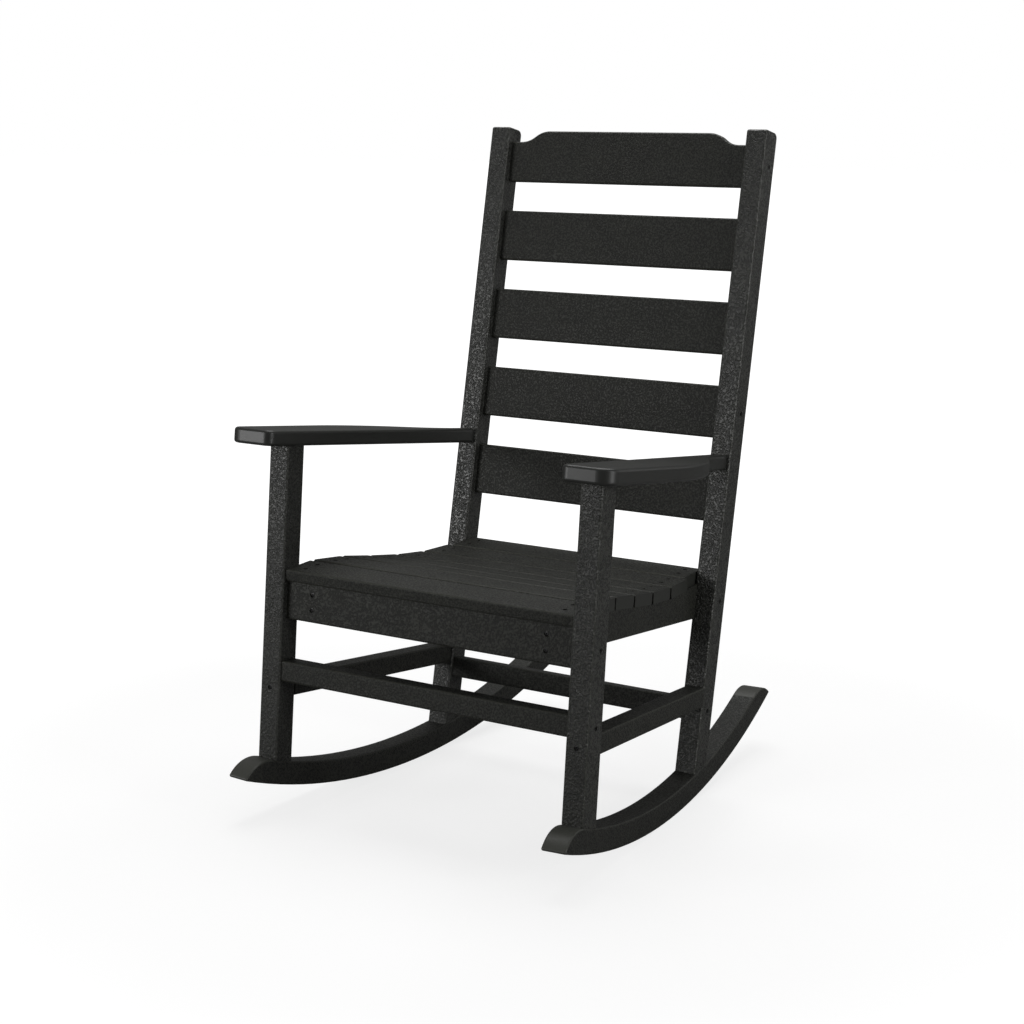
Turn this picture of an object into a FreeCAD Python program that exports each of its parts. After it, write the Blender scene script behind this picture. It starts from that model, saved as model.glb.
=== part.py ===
"""Slat-back rocking chair of extruded plastic boards, held together by recessed screws.

Millimetres and degrees. The seat faces -Y, +Z is up and X = 0 is the plane of symmetry.
"""
import FreeCAD
import Part
import math
import os

from FreeCAD import Placement, Rotation, Vector

# Stance: legs and posts stand square across the chair and lean back in the YZ plane
FRONT_WIDTH = 616.4
BACK_WIDTH = 542.3
POST_LINE_Y = 434.6
LEG_LEAN = 5.53
POST_LEAN = 11.52
POST_LENGTH = 1124.0
FRAME_W = 38.1
FRAME_D = 42.0
EDGE_R = 3.5
POST_CROWN_FRONT_R = 4.0
POST_CROWN_BACK_R = 10.0

# Rockers: boards on edge, cut to an arc, with both ends rounded over on top
ROCKER_W = 41.0
ROCKER_DEPTH = 39.2
ROCKER_R = 1105.0
ROCKER_LOW_Y = 348.0
ROCKER_OUTSET = 4.0
ROCKER_EXTRA_TOE = 0.5
NOSE_REACH = 57.0
TAIL_REACH = 795.0
NOSE_R = 58.0
TAIL_R = 75.0
ROCKER_TIP_R = 3.0
ROCKER_EDGE_R = 3.0

# Stretchers: heights run up the leg or the post that carries them
STRETCHER_W = 34.0
STRETCHER_SETBACK = 4.0
FRONT_STRETCHER_LOW = 225.0
FRONT_STRETCHER_H = 34.0
REAR_STRETCHER_LOW = 132.6
REAR_STRETCHER_H = 35.4
SIDE_STRETCHER_H = 33.4
SIDE_STRETCHER_FRONT_Z = 230.4
SIDE_STRETCHER_BACK_Z = 190.7

# Seat slats, from the front edge back, each with its own tilt (a positive tilt rises backwards)
SEAT_FRONT_Y = 43.0
SEAT_FRONT_Z = 406.5
SEAT_SLAT_W = 66.5
SEAT_SLAT_T = 20.0
SEAT_GAP = 5.0
SEAT_TILTS = (2.4, -5.3, -9.9, -8.8, -5.7, -0.4, 1.6)
FRONT_SLAT_CLEARANCE = 1.1
REAR_SLAT_CLEARANCE = 2.0

# Rails and apron under the seat
RAIL_INSET = 32.1
RAIL_W = 38.1
RAIL_UNDER_Z = 357.4
RAIL_UNDER_SLOPE = 7.0
RAIL_END_Y = 545.0
APRON_SETBACK = 12.0
APRON_T = 20.0
APRON_LOW = 327.0
BLOCK_W = 30.0
BLOCK_D = 30.0
BLOCK_LOW = 335.0
BLOCK_H = 50.0

# Back slats, housed in mortises in the posts
BACK_SLAT_COUNT = 5
BACK_SLAT_T = 16.0
BACK_SLAT_H = 88.0
BACK_SLAT_SETBACK = 13.5
BACK_SLAT_LOW = 467.3
CREST_DROP = 23.9
CREST_H = 90.3
CREST_SHOULDER_H = 70.8
CREST_FLAT_HALF = 158.0
CREST_SHOULDER_HALF = 215.0
MORTISE_DEPTH = 12.0
MORTISE_GAP = 0.15

# Arms: a broad front that sweeps in to a narrow tail against the post
ARM_T = 25.0
ARM_SLOPE = 7.24
ARM_BACK_Z = 568.9
ARM_OVER_FRONT = 54.6
ARM_OVER_SIDE = 41.8
ARM_OVER_INNER = 4.1
ARM_TAIL_STEP = 6.0
ARM_TAIL_W = 26.0
ARM_SWEEP_START = 10.0
ARM_SWEEP_LENGTH = 320.0
ARM_SWEEP_SHARE = 0.62
ARM_CORNER_OUTER_R = 25.0
ARM_CORNER_INNER_R = 14.0
ARM_EDGE_R = 5.0
ARM_STUD_D = 6.0
ARM_STUD_IN_ARM = 15.0
ARM_STUD_IN_LEG = 40.0

# Screws: pan heads on the floor of a recess, with a square drive socket
SCREW_SHANK_D = 4.2
SCREW_HEAD_D = 7.4
SCREW_HEAD_H = 2.0
SCREW_SOCKET = 2.6
SCREW_SOCKET_DEPTH = 1.2
RECESS_D = 8.0
RECESS_DEPTH = 3.0
ROCKER_RECESS_DEPTH = 12.0
BORE_GAP = 0.1
TIP_GAP = 1.0
HOLD_IN_END = 25.0
HOLD_IN_LEG = 60.0
SEAT_SCREW_HOLD = 22.0
SEAT_SCREW_INSET = 28.0
SEAT_SCREW_SPREAD = 14.0
APRON_SCREW_SPREAD = 12.5
RAIL_SCREW_HOLD = 14.0

X_AXIS = Vector(1, 0, 0)
Z_AXIS = Vector(0, 0, 1)
ORIGIN = Vector(0, 0, 0)
SIDES = {"right": 1, "left": -1}
# Longer than the chair, for the blocks that trim a piece along a plane
REACH = 4 * (POST_LENGTH + TAIL_REACH)


def sin(angle):
    return math.sin(math.radians(angle))


def cos(angle):
    return math.cos(math.radians(angle))


def tan(angle):
    return math.tan(math.radians(angle))


LEG_INNER = FRONT_WIDTH / 2 - FRAME_W
POST_INNER = BACK_WIDTH / 2 - FRAME_W
LEG_MIDDLE = FRONT_WIDTH / 2 - FRAME_W / 2
POST_MIDDLE = BACK_WIDTH / 2 - FRAME_W / 2
# The sides toe in so that each rocker runs under the leg and the post of its side
TOE_IN = math.degrees(math.atan((FRONT_WIDTH - BACK_WIDTH) / 2 / (POST_LINE_Y + FRAME_D)))
ROCKER_TOP_R = ROCKER_R - ROCKER_DEPTH
ROCKER_CENTRE = Vector(0, ROCKER_LOW_Y, ROCKER_R)
SEAT_PITCH = SEAT_SLAT_W + SEAT_GAP
SEAT_SLAT_COUNT = len(SEAT_TILTS)
CREST_INDEX = BACK_SLAT_COUNT - 1
# The crest stays just under the posts' tops and the other slats are spaced evenly below it
BACK_SLAT_PITCH = (POST_LENGTH - CREST_DROP - CREST_SHOULDER_H - BACK_SLAT_LOW) / CREST_INDEX


# Frames of reference

def mirrored(shape):
    return shape.mirror(ORIGIN, X_AXIS)


def on_leg(shape):
    """From upright to the front legs' lean: local y runs into the leg and z up it."""
    placed = shape.copy()
    placed.rotate(ORIGIN, X_AXIS, -LEG_LEAN)
    return placed


def on_post(shape):
    """From upright to the back posts' lean."""
    placed = shape.copy()
    placed.rotate(ORIGIN, X_AXIS, -POST_LEAN)
    placed.translate(Vector(0, POST_LINE_Y, 0))
    return placed


def on_side(shape):
    """From the outer plane at x = 0 to the toed-in right side of the chair."""
    placed = shape.copy()
    placed.rotate(ORIGIN, Z_AXIS, TOE_IN)
    placed.translate(Vector(FRONT_WIDTH / 2, 0, 0))
    return placed


def on_rocker(shape):
    """From the outer plane at x = 0 to the right rocker, a little outside the leg in front."""
    placed = shape.copy()
    placed.translate(Vector(ROCKER_OUTSET, 0, 0))
    placed.rotate(ORIGIN, Z_AXIS, TOE_IN + ROCKER_EXTRA_TOE)
    placed.translate(Vector(FRONT_WIDTH / 2, 0, 0))
    return placed


def leg_point(x, depth, height):
    return Vector(x, depth * cos(LEG_LEAN) + height * sin(LEG_LEAN),
                  height * cos(LEG_LEAN) - depth * sin(LEG_LEAN))


def post_point(x, depth, height):
    return Vector(x, POST_LINE_Y + depth * cos(POST_LEAN) + height * sin(POST_LEAN),
                  height * cos(POST_LEAN) - depth * sin(POST_LEAN))


LEG_BACKWARDS = leg_point(0, 1, 0)
LEG_UPWARDS = leg_point(0, 0, 1)
POST_BACKWARDS = post_point(0, 1, 0) - post_point(0, 0, 0)
POST_UPWARDS = post_point(0, 0, 1) - post_point(0, 0, 0)
ARM_FORWARDS = Vector(0, -cos(ARM_SLOPE), sin(ARM_SLOPE))
ARM_UPWARDS = Vector(0, sin(ARM_SLOPE), cos(ARM_SLOPE))
ARM_TAIL = post_point(0, 0, (ARM_BACK_Z / cos(POST_LEAN)))
# The arm spans from the post to the leg and overhangs the leg in front and at the side
ARM_LENGTH = ARM_OVER_FRONT - ARM_TAIL.dot(LEG_BACKWARDS) / ARM_FORWARDS.dot(LEG_BACKWARDS)
ARM_HALF_SPAN = FRONT_WIDTH / 2 + ARM_OVER_SIDE
ARM_FRONT_INNER = LEG_INNER - ARM_OVER_INNER
ARM_TAIL_INNER = POST_INNER + ARM_TAIL_STEP
OUTWARDS = Vector(cos(TOE_IN), sin(TOE_IN), 0)


def side_point(inset, along, height):
    """A point on the right side, this far in from the outer plane."""
    return Vector(FRONT_WIDTH / 2, 0, height) + Vector(
        -inset * cos(TOE_IN) - along * sin(TOE_IN), along * cos(TOE_IN) - inset * sin(TOE_IN), 0)


# Basic solids

def box(low, high):
    size = high - low
    return Part.makeBox(size.x, size.y, size.z, low)


def beyond(point, normal):
    """A block that fills the far side of a plane, used to trim pieces."""
    block = Part.makeBox(2 * REACH, 2 * REACH, REACH, Vector(-REACH, -REACH, 0))
    block.Placement = Placement(point, Rotation(Z_AXIS, normal))
    return block


def runs_along(edge, axis):
    step = edge.Vertexes[-1].Point - edge.Vertexes[0].Point
    return abs(abs(step.dot(axis)) - edge.Length) < 1e-6


def board(low, high, axis):
    """An extruded board with its four long edges rounded."""
    plain = box(low, high)
    return plain.makeFillet(EDGE_R, [edge for edge in plain.Edges if runs_along(edge, axis)])


def prism(points, direction):
    """A straight-sided outline drawn out along a direction."""
    return Part.Face(Part.makePolygon(points + points[:1])).extrude(direction)


def eased(shape, radius, on_edge):
    """Round every edge that the test picks."""
    return shape.makeFillet(radius, [edge for edge in shape.Edges if on_edge(edge)])


def lies_at(edge, axis, value):
    return all(abs(vertex.Point.dot(axis) - value) < 1e-5 for vertex in edge.Vertexes)


# Legs, posts and rockers

def rocker_point(radius, angle):
    """A point on an arc about the rocker's centre, by its angle behind the lowest point."""
    return ROCKER_CENTRE + Vector(0, radius * sin(angle), -radius * cos(angle))


def rounded_end(reach, radius):
    """The angles where an end's rounding leaves the top and meets the underside."""
    tip = math.degrees(math.asin(reach / ROCKER_R))
    centre = ROCKER_TOP_R + radius
    span = (ROCKER_R ** 2 + centre ** 2 - radius ** 2) / (2 * ROCKER_R * centre)
    return tip - math.degrees(math.acos(span)), tip


def rounding_arc(reach, radius, way):
    """The arc over one end, from the top of the board to the tip."""
    start, tip = rounded_end(reach, radius)
    first = rocker_point(ROCKER_TOP_R, way * start)
    last = rocker_point(ROCKER_R, way * tip)
    centre = rocker_point(ROCKER_TOP_R + radius, way * start)
    middle = (first - centre) + (last - centre)
    middle.normalize()
    return first, Part.Arc(first, centre + middle * radius, last).toShape(), last


def rocker():
    nose_start, nose_arc, nose_tip = rounding_arc(ROCKER_LOW_Y + NOSE_REACH, NOSE_R, -1)
    tail_start, tail_arc, tail_tip = rounding_arc(TAIL_REACH - ROCKER_LOW_Y, TAIL_R, 1)
    under = Part.Arc(nose_tip, rocker_point(ROCKER_R, 0), tail_tip).toShape()
    over = Part.Arc(nose_start, rocker_point(ROCKER_TOP_R, 0), tail_start).toShape()
    outline = Part.Wire(Part.__sortEdges__([under, over, nose_arc, tail_arc]))
    plain = Part.Face(outline).extrude(Vector(-ROCKER_W, 0, 0))
    tipped = eased(plain, ROCKER_TIP_R, lambda edge: runs_along(edge, X_AXIS) and (
        lies_near(edge, nose_tip) or lies_near(edge, tail_tip)))
    return on_rocker(eased(tipped, ROCKER_EDGE_R, lambda edge: lies_at(edge, X_AXIS, 0)
                           or lies_at(edge, X_AXIS, -ROCKER_W)))


def lies_near(edge, point):
    return min((vertex.Point - point).Length for vertex in edge.Vertexes) < 1e-3


def above_rocker():
    """The round space over the rocker, that feet are coped to."""
    wide = 2 * FRONT_WIDTH
    return on_rocker(Part.makeCylinder(ROCKER_TOP_R, wide, ROCKER_CENTRE - Vector(wide / 2, 0, 0), X_AXIS))


def plain_leg():
    return box(Vector(LEG_INNER, 0, 0), Vector(FRONT_WIDTH / 2, FRAME_D, ARM_BACK_Z + ARM_LENGTH))


def front_leg():
    top = ARM_BACK_Z + ARM_LENGTH
    leg = on_leg(board(Vector(LEG_INNER, 0, 0), Vector(FRONT_WIDTH / 2, FRAME_D, top), Z_AXIS))
    return leg.common(above_rocker()).cut(beyond(ARM_TAIL - ARM_UPWARDS * ARM_T, ARM_UPWARDS))


def back_post():
    """The post's side view has a rounded crown, and every edge but the foot's is eased."""
    foot = -FRAME_D
    front, back = Vector(POST_INNER, 0, foot), Vector(POST_INNER, FRAME_D, foot)
    front_top, back_top = Vector(POST_INNER, 0, POST_LENGTH), Vector(POST_INNER, FRAME_D, POST_LENGTH)
    plain = prism([front, back, back_top, front_top], Vector(FRAME_W, 0, 0))
    crowned = eased(plain, POST_CROWN_BACK_R, lambda edge: runs_along(edge, X_AXIS)
                    and lies_near(edge, back_top))
    crowned = eased(crowned, POST_CROWN_FRONT_R, lambda edge: runs_along(edge, X_AXIS)
                    and lies_near(edge, front_top))
    soft = eased(crowned, EDGE_R, lambda edge: not lies_at(edge, Z_AXIS, foot) and (
        lies_at(edge, X_AXIS, POST_INNER) or lies_at(edge, X_AXIS, POST_INNER + FRAME_W)))
    return on_post(soft).common(above_rocker())


# Stretchers

def front_stretcher():
    low = Vector(-LEG_INNER, STRETCHER_SETBACK, FRONT_STRETCHER_LOW)
    high = Vector(LEG_INNER, STRETCHER_SETBACK + STRETCHER_W, FRONT_STRETCHER_LOW + FRONT_STRETCHER_H)
    return on_leg(board(low, high, X_AXIS))


def rear_stretcher():
    low = Vector(-POST_INNER, STRETCHER_SETBACK, REAR_STRETCHER_LOW)
    high = Vector(POST_INNER, STRETCHER_SETBACK + STRETCHER_W, REAR_STRETCHER_LOW + REAR_STRETCHER_H)
    return on_post(board(low, high, X_AXIS))


SIDE_STRETCHER_SLOPE = math.degrees(math.atan2(SIDE_STRETCHER_FRONT_Z - SIDE_STRETCHER_BACK_Z, POST_LINE_Y))


def side_stretcher():
    """A bar that falls backwards, from the back of the leg to the front of the post."""
    bar = board(Vector(-STRETCHER_W, -POST_LINE_Y, -SIDE_STRETCHER_H),
                Vector(0, 3 * POST_LINE_Y, 0), Vector(0, 1, 0))
    bar.rotate(ORIGIN, X_AXIS, -SIDE_STRETCHER_SLOPE)
    bar.translate(Vector(0, 0, SIDE_STRETCHER_FRONT_Z))
    bar = on_side(bar).cut(beyond(leg_point(0, FRAME_D, 0), LEG_BACKWARDS * -1))
    return bar.cut(beyond(post_point(0, 0, 0), POST_BACKWARDS))


# Seat

def seat_corner(index):
    """The top front corner of a slat's pitch, counted from the front edge of the seat."""
    y = SEAT_FRONT_Y + sum(SEAT_PITCH * cos(tilt) for tilt in SEAT_TILTS[:index])
    z = SEAT_FRONT_Z + sum(SEAT_PITCH * sin(tilt) for tilt in SEAT_TILTS[:index])
    return Vector(0, y, z)


def slat_directions(index):
    tilt = SEAT_TILTS[index]
    return Vector(0, cos(tilt), sin(tilt)), Vector(0, -sin(tilt), cos(tilt))


def seat_slat(index):
    """Front and rear slats fit between legs and posts; the others end flush with the rails."""
    if index == 0:
        half = LEG_INNER - FRONT_SLAT_CLEARANCE
    elif index == SEAT_SLAT_COUNT - 1:
        half = POST_INNER - REAR_SLAT_CLEARANCE
    else:
        half = FRONT_WIDTH / 2
    slat = board(Vector(-half, 0, -SEAT_SLAT_T), Vector(half, SEAT_SLAT_W, 0), X_AXIS)
    slat.rotate(ORIGIN, X_AXIS, SEAT_TILTS[index])
    slat.translate(seat_corner(index))
    outside = beyond(side_point(RAIL_INSET, 0, 0), OUTWARDS)
    if 0 < index < SEAT_SLAT_COUNT - 1:
        slat = slat.cut(outside).cut(mirrored(outside))
    return slat


def seat_underside(index):
    """A point and the upward direction of a slat's lower face."""
    normal = slat_directions(index)[1]
    return seat_corner(index) - normal * SEAT_SLAT_T, normal


def seat_bearing_line():
    """The corners of the line that the slats' lower faces follow, front to back."""
    corners = []
    for index in range(1, SEAT_SLAT_COUNT):
        first, first_normal = seat_underside(index - 1)
        second, second_normal = seat_underside(index)
        along = slat_directions(index)[0]
        step = (first - second).dot(first_normal) / along.dot(first_normal)
        corners.append(second + along * step)
    first, along = seat_underside(0)[0], slat_directions(0)[0]
    last, last_along = seat_underside(SEAT_SLAT_COUNT - 1)[0], slat_directions(SEAT_SLAT_COUNT - 1)[0]
    end = last + last_along * ((RAIL_END_Y - last.y) / last_along.y)
    return [first - along * (first.y / along.y)] + corners + [end]


def rail_underside(y):
    return RAIL_UNDER_Z - tan(RAIL_UNDER_SLOPE) * y


def seat_rail():
    """A side rail, scooped to carry the slats and housed flat against the leg and the post."""
    scoop = seat_bearing_line()
    under = [Vector(0, RAIL_END_Y, rail_underside(RAIL_END_Y)), Vector(0, 0, rail_underside(0))]
    wide = prism(scoop + under, Vector(FRONT_WIDTH, 0, 0))
    rail = wide.cut(beyond(side_point(RAIL_INSET, 0, 0), OUTWARDS))
    rail = rail.cut(beyond(side_point(RAIL_INSET + RAIL_W, 0, 0), OUTWARDS * -1))
    rail = rail.cut(beyond(leg_point(0, APRON_SETBACK + APRON_T, 0), LEG_BACKWARDS * -1))
    post = box(Vector(POST_INNER, 0, -FRAME_D), Vector(BACK_WIDTH / 2, FRAME_D, POST_LENGTH))
    return rail.cut(on_leg(plain_leg())).cut(on_post(post))


def apron():
    """The board under the seat's front edge, between the legs, up to the front slat."""
    low = Vector(-LEG_INNER, APRON_SETBACK, APRON_LOW)
    high = Vector(LEG_INNER, APRON_SETBACK + APRON_T, SEAT_FRONT_Z)
    plain = box(low, high)
    lower = eased(plain, EDGE_R, lambda edge: runs_along(edge, X_AXIS) and lies_at(edge, Z_AXIS, APRON_LOW))
    return on_leg(lower).cut(beyond(*seat_underside(0)))


def block_inner():
    """Where the corner block's inner face lies, one width in from the side rail."""
    return side_point(RAIL_INSET + RAIL_W, FRAME_D, 0).x - BLOCK_W


def apron_block():
    """A corner block in the angle of the apron and the side rail."""
    depth = APRON_SETBACK + APRON_T
    low = Vector(block_inner(), depth, BLOCK_LOW)
    high = Vector(LEG_INNER, depth + BLOCK_D, BLOCK_LOW + BLOCK_H)
    block = on_leg(box(low, high)).cut(beyond(*seat_underside(0)))
    return block.cut(beyond(side_point(RAIL_INSET + RAIL_W, 0, 0), OUTWARDS))


# Back

def back_slat_low(index):
    return BACK_SLAT_LOW + index * BACK_SLAT_PITCH


def slat_tongue(index, gap):
    """The part of a slat between the ends of its mortises, larger all round by a gap."""
    height = CREST_SHOULDER_H if index == CREST_INDEX else BACK_SLAT_H
    half = POST_INNER + MORTISE_DEPTH
    low = Vector(-half, BACK_SLAT_SETBACK - gap, back_slat_low(index) - gap)
    high = Vector(half, BACK_SLAT_SETBACK + BACK_SLAT_T + gap, back_slat_low(index) + height + gap)
    return board(low, high, X_AXIS)


def crest():
    """The top slat: its upper edge steps up to a long flat through two tangent arcs a side."""
    half = POST_INNER + MORTISE_DEPTH
    low = back_slat_low(CREST_INDEX)
    shoulder, top = low + CREST_SHOULDER_H, low + CREST_H
    rise, run = CREST_H - CREST_SHOULDER_H, CREST_SHOULDER_HALF - CREST_FLAT_HALF
    radius = (run ** 2 + rise ** 2) / (4 * rise)
    turn = math.degrees(math.asin(run / 2 / radius))
    edges = []
    for side in (1, -1):
        start = Vector(side * CREST_FLAT_HALF, 0, top)
        middle = Vector(side * (CREST_FLAT_HALF + run / 2), 0, top - rise / 2)
        finish = Vector(side * CREST_SHOULDER_HALF, 0, shoulder)
        outwards = Vector(side * radius * sin(turn / 2), 0, 0)
        over = start + outwards - Vector(0, 0, radius * (1 - cos(turn / 2)))
        under = finish - outwards + Vector(0, 0, radius * (1 - cos(turn / 2)))
        edges += [Part.Arc(start, over, middle).toShape(), Part.Arc(middle, under, finish).toShape(),
                  Part.makeLine(finish, Vector(side * half, 0, shoulder)),
                  Part.makeLine(Vector(side * half, 0, shoulder), Vector(side * half, 0, low))]
    edges.append(Part.makeLine(Vector(-CREST_FLAT_HALF, 0, top), Vector(CREST_FLAT_HALF, 0, top)))
    edges.append(Part.makeLine(Vector(-half, 0, low), Vector(half, 0, low)))
    plain = Part.Face(Part.Wire(Part.__sortEdges__(edges))).extrude(Vector(0, BACK_SLAT_T, 0))
    y_axis = Vector(0, 1, 0)
    soft = eased(plain, EDGE_R, lambda edge: not runs_along(edge, Z_AXIS) and (
        lies_at(edge, y_axis, 0) or lies_at(edge, y_axis, BACK_SLAT_T)))
    soft.translate(Vector(0, BACK_SLAT_SETBACK, 0))
    return soft


def back_slat(index):
    return on_post(crest() if index == CREST_INDEX else slat_tongue(index, 0))


def mortises():
    """All pockets for the slat ends, as one tool: each floor carries the slat's end face."""
    return on_post(Part.makeCompound([slat_tongue(index, MORTISE_GAP) for index in range(BACK_SLAT_COUNT)]))


# Arms

def arm_outline():
    """Half plan of the right arm, x across and y forwards from the post."""
    tail_outer = ARM_TAIL_INNER + ARM_TAIL_W
    offset = ARM_HALF_SPAN - tail_outer
    both_radii = (ARM_SWEEP_LENGTH ** 2 + offset ** 2) / (2 * offset)
    front_radius = both_radii * ARM_SWEEP_SHARE
    tail_radius = both_radii - front_radius
    turn = math.degrees(math.asin(ARM_SWEEP_LENGTH / both_radii))
    out_centre = Vector(ARM_HALF_SPAN - front_radius, ARM_SWEEP_START + ARM_SWEEP_LENGTH, 0)
    tail_centre = Vector(tail_outer + tail_radius, ARM_SWEEP_START, 0)

    def on_front(angle):
        return out_centre + Vector(front_radius * cos(angle), -front_radius * sin(angle), 0)

    def on_tail(angle):
        return tail_centre - Vector(tail_radius * cos(angle), -tail_radius * sin(angle), 0)

    below = Vector(0, -ARM_SWEEP_START - ARM_T, 0)
    corner = Vector(ARM_HALF_SPAN, ARM_LENGTH, 0)
    inner_front = Vector(ARM_FRONT_INNER, ARM_LENGTH, 0)
    inner_tail = Vector(ARM_TAIL_INNER, -ARM_T, 0)
    return [Part.Arc(on_front(0), on_front(turn / 2), on_front(turn)).toShape(),
            Part.Arc(on_front(turn), on_tail(turn / 2), on_tail(0)).toShape(),
            Part.makeLine(on_tail(0), on_tail(0) + below),
            Part.makeLine(on_tail(0) + below, inner_tail),
            Part.makeLine(inner_tail, Vector(ARM_TAIL_INNER, 0, 0)),
            Part.makeLine(Vector(ARM_TAIL_INNER, 0, 0), inner_front),
            Part.makeLine(inner_front, corner),
            Part.makeLine(corner, on_front(0))]


def arm():
    outline = Part.Wire(Part.__sortEdges__(arm_outline()))
    plain = Part.Face(outline).extrude(Vector(0, 0, -ARM_T))
    outer = Vector(ARM_HALF_SPAN, ARM_LENGTH, 0)
    inner = Vector(ARM_FRONT_INNER, ARM_LENGTH, 0)
    plain = eased(plain, ARM_CORNER_OUTER_R, lambda edge: runs_along(edge, Z_AXIS) and lies_near(edge, outer))
    plain = eased(plain, ARM_CORNER_INNER_R, lambda edge: runs_along(edge, Z_AXIS) and lies_near(edge, inner))
    y_axis = Vector(0, 1, 0)
    soft = eased(plain, ARM_EDGE_R, lambda edge: not lies_at(edge, y_axis, -ARM_T) and (
        lies_at(edge, Z_AXIS, 0) or lies_at(edge, Z_AXIS, -ARM_T)))
    soft = soft.mirror(ORIGIN, Vector(0, 1, 0))
    soft.rotate(ORIGIN, X_AXIS, -ARM_SLOPE)
    soft.translate(ARM_TAIL)
    return soft.cut(beyond(post_point(0, 0, 0), POST_BACKWARDS))


# Fasteners

def screw_blank(length, recess):
    """A screw driven along +Z from a surface at the origin, its head on the recess floor."""
    head = Part.makeCylinder(SCREW_HEAD_D / 2, SCREW_HEAD_H, Vector(0, 0, recess - SCREW_HEAD_H))
    half = SCREW_SOCKET / 2
    face = recess - SCREW_HEAD_H
    socket = box(Vector(-half, -half, face), Vector(half, half, face + SCREW_SOCKET_DEPTH))
    shank = Part.makeCylinder(SCREW_SHANK_D / 2, length, Vector(0, 0, recess))
    return head.fuse(shank).removeSplitter().cut(socket)


def hole_blank(length, recess):
    """The recess and the bore for one screw."""
    wide = Part.makeCylinder(RECESS_D / 2, recess + RECESS_D, Vector(0, 0, -RECESS_D))
    bore = Part.makeCylinder(SCREW_SHANK_D / 2 + BORE_GAP, length + TIP_GAP, Vector(0, 0, recess))
    return wide.fuse(bore)


def driven(blank, places):
    """Copies of a blank at each place, which is a point and the direction it is driven in."""
    copies = []
    for point, into in places:
        copy = blank.copy()
        copy.Placement = Placement(point, Rotation(Z_AXIS, into))
        copies.append(copy)
    return Part.makeCompound(copies)


def both_sides(places):
    """Each place and its mirror image."""
    flipped = [(Vector(-point.x, point.y, point.z), Vector(-into.x, into.y, into.z)) for point, into in places]
    return places + flipped


def rail_screw_height():
    """How far up the post its screw meets the middle of the side rail."""
    slope = tan(RAIL_UNDER_SLOPE)
    depth = FRAME_D / 2
    rise = (seat_bearing_line()[-1].z - rail_underside(RAIL_END_Y)) / 2
    level = RAIL_UNDER_Z + rise - slope * (POST_LINE_Y + depth * cos(POST_LEAN))
    return (level + depth * sin(POST_LEAN)) / (cos(POST_LEAN) + slope * sin(POST_LEAN))


def slat_screw_height(index):
    height = CREST_SHOULDER_H if index == CREST_INDEX else BACK_SLAT_H
    return back_slat_low(index) + height / 2


def post_side_places(heights):
    depth = BACK_SLAT_SETBACK + BACK_SLAT_T / 2
    return both_sides([(post_point(BACK_WIDTH / 2, depth, height), Vector(-1, 0, 0)) for height in heights])


def leg_side_places(depth, height):
    return both_sides([(leg_point(FRONT_WIDTH / 2, depth, height), Vector(-1, 0, 0))])


def side_stretcher_middle(y):
    return SIDE_STRETCHER_FRONT_Z - y * tan(SIDE_STRETCHER_SLOPE) - SIDE_STRETCHER_H / 2


def seat_screw_places(index):
    """Two screws at each end of a slat, into the side rail or, at the front, the apron."""
    along, normal = slat_directions(index)
    middle = seat_corner(index) + along * (SEAT_SLAT_W / 2)
    places = []
    for step in (-SEAT_SCREW_SPREAD, SEAT_SCREW_SPREAD):
        point = middle + along * step
        point.x = side_point(RAIL_INSET + SEAT_SCREW_INSET, point.y, 0).x
        places.append((point, normal * -1))
    return both_sides(places)


def below_foot(point, upwards):
    """The place on the rocker's underside under a foot, measured down the leg or post."""
    y_gap, z_gap = point.y - ROCKER_LOW_Y, point.z - ROCKER_R
    half = y_gap * upwards.y + z_gap * upwards.z
    drop = half + math.sqrt(half ** 2 - (y_gap ** 2 + z_gap ** 2 - ROCKER_R ** 2))
    return point - upwards * drop


def rocker_screw_places():
    knee = leg_point(LEG_MIDDLE, FRAME_D / 2, FRONT_STRETCHER_LOW)
    hock = post_point(POST_MIDDLE, FRAME_D / 2, REAR_STRETCHER_LOW)
    knee, hock = below_foot(knee, LEG_UPWARDS), below_foot(hock, POST_UPWARDS)
    for point in (knee, hock):
        point.x = side_point(FRAME_W / 2, point.y, 0).x
    return both_sides([(knee, LEG_UPWARDS), (hock, POST_UPWARDS)])


def arm_stud_places():
    """Foot of each stud in the leg's top, and the way it stands."""
    under_arm = ARM_TAIL - ARM_UPWARDS * ARM_T
    foot = leg_point(LEG_MIDDLE, FRAME_D / 2, 0)
    rise = (under_arm - foot).dot(ARM_UPWARDS) / LEG_UPWARDS.dot(ARM_UPWARDS)
    return both_sides([(foot + LEG_UPWARDS * (rise - ARM_STUD_IN_LEG), LEG_UPWARDS)])


def fasten(pieces, name, places, length, held, recess=RECESS_DEPTH):
    """Add a group of screws to the pieces and drill the boards that they hold."""
    holes = driven(hole_blank(length, recess), places)
    for node in held:
        pieces[node] = pieces[node].cut(holes)
    pieces[name] = driven(screw_blank(length, recess), places)


def add_studs(pieces):
    length = ARM_STUD_IN_LEG + ARM_STUD_IN_ARM
    stud = Part.makeCylinder(ARM_STUD_D / 2, length)
    hole = Part.makeCylinder(ARM_STUD_D / 2 + BORE_GAP, length + TIP_GAP)
    places = arm_stud_places()
    for node in paired("front_leg") + paired("arm"):
        pieces[node] = pieces[node].cut(driven(hole, places))
    pieces["arm_studs"] = driven(stud, places)


def paired(name):
    return [name + "_" + side for side in SIDES]


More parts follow.
